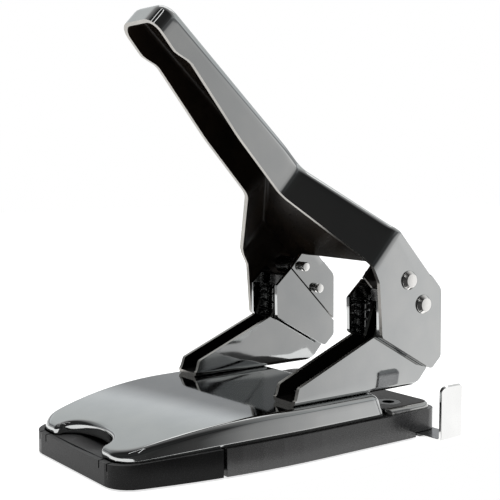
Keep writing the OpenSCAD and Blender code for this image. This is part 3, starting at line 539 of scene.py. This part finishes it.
def deck_shell():
    """Top: straight lines from the front outline to a line across the deck, on to the rear, and to
    the rear outline, all at the deck's height. Edge: at each outline point the skirt goes up and
    bends in on an arc."""
    front, front_in = deck_front_line(0), deck_front_line(1)
    t = places(front, DECK_STEP)
    front, front_in = at(front, t), at(front_in, t)
    share = np.interp(t, *FRONT_SHARES)
    rear, rear_in = deck_rear_line(0), deck_rear_line(1)
    t_rear = np.interp(share, shares(rear), np.arange(len(rear)))
    rear, rear_in = at(rear, t_rear), at(rear_in, t_rear)
    ys = np.linspace(QUIET_FRONT, QUIET_REAR, 40)
    side = np.stack([side_x(ys) - DECK_INSET, ys], 1)
    edge = np.concatenate([front, side[1:-1], rear[::-1]])
    step = np.concatenate([front_in, side[1:-1] - (1, 0), rear_in[::-1]]) - edge
    notch = np.interp(t, FOLD_WIDENS, (NOTCH_FOLD, DECK_FOLD))
    fold = np.concatenate([notch, np.full(len(edge) - len(front), DECK_FOLD)])
    over_tongue = (edge[:, 1] > DECK_REAR - 1) & (edge[:, 0] < TONGUE_HALF)
    low = np.where(over_tongue, TONGUE_TOP, base_top(edge[:, 1]) + SKIRT_GAP)
    angle = np.linspace(0, np.pi / 2, 9)
    bent = edge[:, None] + step[:, None] * (fold[:, None] * (1 - np.cos(angle)))[..., None]
    bent_z = deck_top(bent[..., 1]) - fold[:, None] * (1 - np.sin(angle))
    folds = leaned(bent, bent_z)
    foot = leaned(edge, low)
    skirt = between(foot, folds[:, 0], 5)
    rim = bent[:, -1]
    middle_x = rim[len(front) - 1:len(edge) - len(rear) + 1, 0]
    rows = share[:, None] * middle_x[None]
    middle = np.stack([rows, np.broadcast_to(ys, rows.shape)], -1)
    front_top = between(rim[:len(front)], middle[:, 0], 14)
    rear_top = between(middle[:, -1], rim[::-1][:len(rear)], 10)
    tops = [leaned(p, deck_top(p[..., 1])) for p in (front_top, middle, rear_top)]
    half = [np.concatenate([skirt, folds[:, 1:]], 1), *tops]
    thing = mesh_piece("deck_shell", half + mirrored(half), [GUNMETAL, INSIDE_SHADE, CUT_EDGE],
                       "base", ["deck_cover"])
    thicken(thing, DECK_SHEET, even=False)


# Lever: one folded sheet, in its own frame (across, down its back, out of its back) from the pivot
PIVOT = np.array([76.4, 65.5])
SLOPE = radians(43)
LEVER_SHEET = 2.0
LEVER_LEN = 183.6
HANDLE_RISE = 19.4
BACK_BEND = tan(radians(3.5))
BEND_LEN = 92.0
FLARE_TOP, FLARE_LOW, FLARE_R = 78.3, 39.0, 9.0
HANDLE_HALF, HANDLE_CORNER = 15.0, 8.0
LEG_OUT = box_mm("lever_frame")[1][0]
HOLE_PITCH = 80
LEG_IN = HOLE_PITCH - LEG_OUT
LEVER_FOLD, LEG_FOLD = 4.1, 1.4
FOLD_CHANGE, FOLD_END = 6, 2
LEVER_STEP, LEVER_EASE = 2.5, 0.3
GRIP_LEN, GRIP_SLOPE = 18, 8.6
ARCH_TOP, STRIP_END = -12.6, -4.0
LEG_TURN = np.arctan2(LEG_OUT - HANDLE_HALF, FLARE_TOP - FLARE_LOW)
LEG_START = -34.0
LEG_TIP, LEG_REAR_LOW = (6.5, -32.7), (13.0, -27.0)
LEG_FRONT_LOW, LEG_FRONT_TOP = (-27.0, -13.8), (-29.1, 12.5)
TIP_LOW_SHARE, TIP_TOP_SHARE = 0.25, 0.2
LEG_BACK, SHOULDER_R = 12.7, 5
FLANGE_FRONT_TOP, FLANGE_FRONT_LOW = (-10.2, 19.2), (-17.1, 11.9)
FLANGE_BACK = 12.8


def to_lever(p, *radius):
    """A side-view point, back and up from the pivot, in the lever's own frame."""
    down = p[0] * np.cos(SLOPE) - p[1] * np.sin(SLOPE)
    out = p[0] * np.sin(SLOPE) + p[1] * np.cos(SLOPE)
    return (down, out, *radius)


def lever_to_world(points):
    """Points (across, down the back, out of the back) in the frame of the punch."""
    x, s, z = np.moveaxis(points, -1, 0)
    y = PIVOT[0] + s * np.cos(SLOPE) + z * np.sin(SLOPE)
    return np.stack([x, y, PIVOT[1] - s * np.sin(SLOPE) + z * np.cos(SLOPE)], -1)


def back_z(s):
    """Height of the lever's back: level on the handle, bent down a little towards the legs."""
    return HANDLE_RISE - np.maximum(s + BEND_LEN, 0) * BACK_BEND


def lever_fold(s):
    """Radius of the folded edge: wide on handle and flare, tight on the legs, none at the end."""
    tight = np.clip((s + FLARE_LOW + FOLD_CHANGE / 2) / FOLD_CHANGE, 0, 1)
    r = LEVER_FOLD + (LEG_FOLD - LEVER_FOLD) * tight
    return r * np.clip((STRIP_END - s) / FOLD_END, 0, 1)


def lever_plan(inset):
    """Right half of the lever's plan, drawn in: the handle's end and side, the flare, a leg's start."""
    w, shift = HANDLE_HALF - inset, inset * np.tan(LEG_TURN / 2)
    return rounded([(0, inset - LEVER_LEN), (w, inset - LEVER_LEN, HANDLE_CORNER - inset),
                    (w, shift - FLARE_TOP, FLARE_R + inset),
                    (LEG_OUT - inset, shift - FLARE_LOW, FLARE_R - inset),
                    (LEG_OUT - inset, LEG_START)], 10)


GRIP_END = LEVER_LEN - GRIP_LEN
SHOULDER_S = (LEG_BACK - (HANDLE_RISE - BEND_LEN * BACK_BEND) * np.sin(SLOPE)) / (
    np.cos(SLOPE) - BACK_BEND * np.sin(SLOPE))
SHOULDER = (SHOULDER_S, back_z(SHOULDER_S), SHOULDER_R)
# Corners of the rim: down the back, out of the back, radius
RIM = [(-LEVER_LEN - 5, 8.4), (-GRIP_END, 5.7, 7), (GRIP_SLOPE - GRIP_END, 8.3, 7),
       (-BEND_LEN - 23, 2.2, 60), (-FLARE_TOP, -0.6, 30), (-FLARE_LOW, -7.4, 12),
       to_lever(LEG_FRONT_TOP, 7), to_lever(LEG_FRONT_LOW, 2), to_lever(LEG_TIP, 2.5)]


def lever_side(low, top, x):
    """Wall of a leg at x between like points of its lower and upper outline."""
    wall = between(low, top, 7)
    return np.concatenate([np.full((*wall.shape[:2], 1), x), wall], -1)


def lever_shell():
    """Walls: at each point of the plan a line from the rim up to the fold, an arc in to the back.
    Back: rows across between like points of the two folds. Legs: straight lines between their lower
    and upper outlines."""
    split = (LEG_IN + LEG_FOLD) / (LEG_OUT - LEG_FOLD)
    across = np.unique(np.append(np.linspace(0, 1, 11), split))
    plan, plan_in = lever_plan(0), lever_plan(1)
    t = places(plan, LEVER_STEP)
    t = np.concatenate([across, t[t > 1]])
    plan, step = at(plan, t), at(plan_in, t) - at(plan, t)
    rim_line = rounded(RIM + [to_lever(LEG_REAR_LOW)], 10)
    s = plan[:, 1]
    rim = np.interp(s, rim_line[:, 0], rim_line[:, 1])
    fold = lever_fold(s)
    angle = np.linspace(0, np.pi / 2, 10)
    bent = plan[:, None] + step[:, None] * (fold[:, None] * (1 - np.cos(angle)))[..., None]
    bent_z = back_z(bent[..., 1]) - fold[:, None] * (1 - np.sin(angle))
    folds = np.concatenate([bent, bent_z[..., None]], -1)
    foot = np.column_stack([plan, rim])
    walls = np.concatenate([between(foot, folds[:, 0], 7), folds[:, 1:]], 1)

    chamfer = np.array(to_lever(LEG_REAR_LOW)) - np.array(to_lever(LEG_TIP))
    low_end = np.array(to_lever(LEG_TIP)) + chamfer * TIP_LOW_SHARE
    top_end = np.array(to_lever(LEG_REAR_LOW)) - chamfer * TIP_TOP_SHARE
    start = np.interp(LEG_START, rim_line[:, 0], rim_line[:, 1])
    low = rounded([(LEG_START, start), *RIM[-3:], tuple(low_end)], 8)
    ss = np.linspace(LEG_START, STRIP_END, 24)
    flat_top = np.stack([ss, back_z(ss) - lever_fold(ss)], 1).tolist()
    top = rounded(flat_top + [SHOULDER, to_lever(LEG_REAR_LOW, 3), tuple(top_end)], 8)
    low, top = ruled(low, top, 90)
    leg = lever_side(low, top, LEG_OUT)
    held = np.count_nonzero(top[:, 0] <= STRIP_END + ROUNDING)
    ss = top[:held, 0]
    fold = lever_fold(ss)[:, None]
    leg_fold = np.stack([LEG_OUT - fold * (1 - np.cos(angle)),
                         np.broadcast_to(ss[:, None], (held, len(angle))),
                         back_z(ss)[:, None] - fold * (1 - np.sin(angle))], -1)
    leg_walls = np.concatenate([leg[:held], leg_fold[:, 1:]], 1)

    ridge = np.concatenate([walls[len(across) - 1:, -1], leg_walls[1:, -1]])
    arch = len(ridge) - held + np.argmin(abs(ss - ARCH_TOP))
    rows = ridge[:arch + 1]
    ones = np.ones(len(across))
    back = rows[:, None] * np.stack([across[::-1], ones, ones], -1)
    strip_rows = ridge[arch:]
    strip_s = strip_rows[:, 1]
    inner_fold = lever_fold(strip_s)
    share = (across[across >= split - ROUNDING][::-1] - split) / (1 - split)
    strip_width = strip_rows[:, 0] - LEG_IN - inner_fold
    strip_x = (LEG_IN + inner_fold)[:, None] + strip_width[:, None] * share
    strip_s_z = [np.broadcast_to(strip_rows[:, i, None], strip_x.shape) for i in (1, 2)]
    strip = np.stack([strip_x, *strip_s_z], -1)
    down = angle[::-1]
    hem = np.stack([LEG_IN + inner_fold[:, None] * (1 - np.cos(down)),
                    np.broadcast_to(strip_s[:, None], (len(strip_s), len(down))),
                    strip_rows[:, 2, None] - inner_fold[:, None] * (1 - np.sin(down))], -1)
    flange_rear = rounded([tuple(hem[-1, -1, 1:]), SHOULDER, to_lever((FLANGE_BACK, -14)),
                           to_lever((FLANGE_BACK, -16))], 8)[1:-1]
    flange_top = np.concatenate([[to_lever(FLANGE_FRONT_TOP)], hem[:, -1, 1:], flange_rear])
    flange_low = np.array([to_lever(FLANGE_FRONT_LOW), to_lever((FLANGE_BACK, -18.0))])
    flange_low = at(flange_low, shares(flange_top))
    flange = lever_side(flange_top, flange_low, LEG_IN)
    half = [walls, leg_walls, leg[held - 1:], back, strip, hem, flange]
    half = [lever_to_world(p) for p in half]
    thing = mesh_piece("lever_shell", half + mirrored(half), [GUNMETAL, LEVER_INSIDE_SHADE, CUT_EDGE],
                       "lever", ["lever_frame"])
    thicken(thing, LEVER_SHEET)
    ease(thing, LEVER_EASE)


# Brackets: bent channels, a wedge on the deck with ears up to the pivot, from which outlines count
BRACKET_HALF, BRACKET_SHEET, BRACKET_BEND = 8.0, 2.0, 2.4
BRACKET_EASE = 0.25
HOLE_X, HOLE_Y = HOLE_PITCH / 2, 66.0
GUIDE_HOLE_R = 4.5
BOSS_R = 7.5
EAR_REAR = 10.55


def bracket_channel(name, side, node):
    """Half a channel: the web out from the middle, with straight lines from a hole to a frame round
    it, an arc up into the wall, cut off where the outline rises, and straight lines between like
    points of the wall's lower and upper outline. The other half is its mirror image."""
    floor = DECK_H - PIVOT[1]
    turn = np.radians(np.arange(190, -11, -10))
    ear = BOSS_R * np.stack([np.cos(turn), np.sin(turn)], 1)
    hole, reach = HOLE_Y - PIVOT[0], BRACKET_HALF - BRACKET_BEND
    low = rounded([(-76.3, floor), (hole - reach, floor), (hole + reach, floor), (-2.1, floor),
                   (2.7, floor + 2.6, 0.8), (7.8, floor + 7.9, 0.8), (EAR_REAR, -25)], 6)
    front = rounded([(-75.4, floor + 3), (-73.8, floor + 8.2, 2), (-27.5, floor + 27, 1),
                     (-14, -20, 3), tuple(ear[0])], 8)
    rear = rounded([tuple(ear[-1]), (EAR_REAR, -18, 4), (EAR_REAR, -24)], 6)
    top = np.concatenate([front, ear[1:], rear[1:-1]])
    low, top = ruled(low, top, 60, level_shares)
    rise = np.maximum(low[:, 1] - floor, 0)
    wall_low = np.stack([low[:, 0], np.maximum(low[:, 1], floor + BRACKET_BEND)], 1)
    wall = between(wall_low, top, 6)
    wall = np.concatenate([np.full((*wall.shape[:2], 1), BRACKET_HALF), wall], -1)
    cut = np.arcsin(np.clip(1 - rise / BRACKET_BEND, 0, 1))
    angle = cut[:, None] * np.linspace(1, 0, 7)
    bend = np.stack([BRACKET_HALF - BRACKET_BEND * (1 - np.cos(angle)),
                     np.broadcast_to(low[:, :1], angle.shape),
                     np.maximum(floor + BRACKET_BEND * (1 - np.sin(angle)), low[:, 1:])], -1)
    flat = low[:, 1] <= floor + ROUNDING
    web = bend[flat, 0][:, None] * np.stack([np.linspace(0, 1, 4), np.ones(4), np.ones(4)], -1)
    first, last = (np.argmin(abs(web[:, 0, 1] - hole - step)) for step in (-reach, reach))
    around = np.concatenate([web[first], web[first + 1:last, -1], web[last, ::-1]])
    out = around[:, :2] - (0, hole)
    ring = GUIDE_HOLE_R * out / np.linalg.norm(out, axis=1)[:, None] + (0, hole)
    circle = np.column_stack([ring, around[:, 2]])
    side_wall = np.concatenate([bend, wall[:, 1:]], 1)
    half = [web[:first + 1], web[last:], between(circle, around, 3), side_wall]
    both = [p + np.array([side * HOLE_X, *PIVOT]) for p in half + mirrored(half)]
    thing = mesh_piece(name, both, [GUNMETAL, INSIDE_SHADE, CUT_EDGE], "base", [node])
    thicken(thing, BRACKET_SHEET)
    ease(thing, BRACKET_EASE)


# Pins, springs and the paper guide
def revolved(profile, place, side, count=40):
    """A profile (along X, radius) turned round an axis along X through a place (y, z)."""
    turn = np.linspace(0, 2 * np.pi, count + 1)
    x = np.broadcast_to(profile[:, :1], (len(profile), len(turn)))
    y = place[0] + profile[:, 1:] * np.cos(turn)
    z = place[1] + profile[:, 1:] * np.sin(turn)
    grid = np.stack([x, y, z], -1)
    return grid if side > 0 else mirrored([grid])[0]


PIN_R = 2.5
PIN_HEAD_R, PIN_TOP_R, PIN_HEAD_H, PIN_HEAD_SINK = 4.65, 3.3, 2.3, 0.2
PIN_END = LEG_IN - 3.6
GROOVE_R, GROOVE_SLOPE = 1.8, 0.2
GROOVE_INNER, GROOVE_OUTER = LEG_IN - 2.2, LEG_IN - 1.2
PIN_PLACES = {"pivot": (0, 0), "drive": (-10, 12.4)}


def leg_pin(name, place, side, node):
    """A pin with a grooved inner end and a head with a sloping edge: circles round X whose radii
    follow the pin's profile."""
    shank = rounded([(PIN_END, 0), (PIN_END, PIN_R, 0.5),
                     (GROOVE_INNER - GROOVE_SLOPE, PIN_R, 0.2), (GROOVE_INNER, GROOVE_R, 0.2),
                     (GROOVE_OUTER, GROOVE_R, 0.2), (GROOVE_OUTER + GROOVE_SLOPE, PIN_R, 0.2),
                     (LEG_OUT - PIN_HEAD_SINK, PIN_R), (LEG_OUT - PIN_HEAD_SINK, PIN_HEAD_R - 0.1),
                     (LEG_OUT, PIN_HEAD_R)], 3)
    top = LEG_OUT + PIN_HEAD_H
    head = rounded([(LEG_OUT, PIN_HEAD_R), (LEG_OUT + 0.6, PIN_HEAD_R, 0.4),
                    (top - 0.1, PIN_TOP_R, 0.6), (top, 0)], 5)
    grid = revolved(np.concatenate([shank, head[1:]]), PIVOT + place, side)
    mesh_piece(name, [grid], [PIN_STEEL], "lever", [node])


SPRING_LOW, SPRING_HIGH = (box_mm("return_spring_right")[i][2] for i in (0, 1))
SPRING_WIRE, SPRING_R, SPRING_CURLS = 0.55, 4.65, 7
CURL_STEPS, END_FLATTEN = 28, 0.09


def return_spring(name, side, node):
    """A wire carried along a helix: its pitch eases in and out so that the end turns lie flat, and
    it narrows to nothing on a quarter circle over its first and last three steps."""
    t = np.linspace(0, 1, SPRING_CURLS * CURL_STEPS + 1)
    turn = 2 * np.pi * SPRING_CURLS * t
    lift = t - END_FLATTEN * np.sin(2 * np.pi * t)
    z = SPRING_LOW + SPRING_WIRE + (SPRING_HIGH - SPRING_LOW - 2 * SPRING_WIRE) * lift
    around = np.linspace(0, 2 * np.pi, 11)
    to_end = (1 - np.minimum(t, 1 - t) / t[3]).clip(0)
    thick = SPRING_WIRE * np.sqrt(np.clip(1 - to_end ** 2, 0, 1))[:, None]
    reach = SPRING_R + thick * np.cos(around)
    x = side * HOLE_X + reach * np.cos(turn)[:, None]
    y = HOLE_Y + reach * np.sin(turn)[:, None]
    grid = np.stack([x, y, z[:, None] + thick * np.sin(around)], -1)
    thing = mesh_piece(name, [grid], [STEEL], "base", [node])
    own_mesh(thing)


GUIDE_LOW, GUIDE_HIGH = box_mm("paper_guide")
GUIDE_SHEET, GUIDE_STEP, GUIDE_EASE = 1.5, 0.8, 0.2
GUIDE_TOP_R = GUIDE_BEND_R = 2.5
GUIDE_HOOK, GUIDE_HOOK_H, GUIDE_HOOK_R = 1, 2, 4


def paper_guide():
    """A line in the side view, along the blade, round the bend and up to a small hook, carried
    across the strip's width; near the top the width shrinks on two arcs."""
    face = GUIDE_HIGH[0] - GUIDE_HOOK
    line = rounded([(GUIDE_LOW[0], GUIDE_LOW[2]), (face, GUIDE_LOW[2], GUIDE_BEND_R),
                    (face, GUIDE_HIGH[2] - GUIDE_HOOK_H, GUIDE_HOOK_R),
                    (GUIDE_HIGH[0], GUIDE_HIGH[2])], 10)
    line = at(line, places(line, GUIDE_STEP))
    over = np.clip(line[:, 1] - GUIDE_HIGH[2] + GUIDE_TOP_R, 0, GUIDE_TOP_R) / GUIDE_TOP_R
    shrink = GUIDE_TOP_R * (1 - np.sqrt(1 - over ** 2))
    across = np.linspace(0, 1, 9)
    width = GUIDE_HIGH[1] - GUIDE_LOW[1] - 2 * shrink
    y = (GUIDE_LOW[1] + shrink)[:, None] + width[:, None] * across
    x, z = (np.broadcast_to(column[:, None], y.shape) for column in line.T)
    grid = np.stack([x, y, z], -1)
    thing = mesh_piece("guide_strip", [grid[:, ::-1]], [CHROME, GUIDE_BACK_SHADE, CHROME],
                       "guide", ["paper_guide"])
    thicken(thing, GUIDE_SHEET)
    ease(thing, GUIDE_EASE)


# Scene
photo_camera()
studio_world()
softbox("top_box", (-0.35, 0.45, 0.85), 1.6, (1.2, 0.8), 3)
softbox("fill_box", (0.1, -0.15, 1), 1.6, (1.6, 1.6), 15, in_mirrors=False)
softbox("strip_near", (0.41, -0.38, 0.83), 1.4, (0.07, 1.0), 0.4)
softbox("strip_far", (0.03, -0.45, 0.89), 1.4, (0.07, 1.0), 0.4)
pale_floor()
for part, slot in SLOT_OF.items():
    mesh = nodes[part].data
    mesh.materials.clear()
    mesh.materials.append(BUSH_STEEL if part.startswith("die_bush") else SLOTS[slot])
eased_copy("base_housing", 0.4, [HOUSING])
eased_copy("chip_tray", 0.2, [PLASTIC, GRAINED])
# The die plate's level faces take the near-black painted shade, its other faces the lighter metal
eased_copy("die_plate", 0.4, [PLATE_EDGE, PLATE_TOP_SHADE])
for part in ("leg_stiffener_right", "leg_stiffener_left", "bracket_screws",
             "punch_cap_right", "punch_cap_left"):
    eased_copy(part, 0.25)
deck_shell()
lever_shell()
for hand, side in (("right", 1), ("left", -1)):
    bracket_channel(f"bracket_channel_{hand}", side, f"bracket_{hand}")
    return_spring(f"spring_coil_{hand}", side, f"return_spring_{hand}")
    for pin, place in PIN_PLACES.items():
        leg_pin(f"{pin}_pin_turned_{hand}", place, side, f"{pin}_pin_{hand}")
paper_guide()
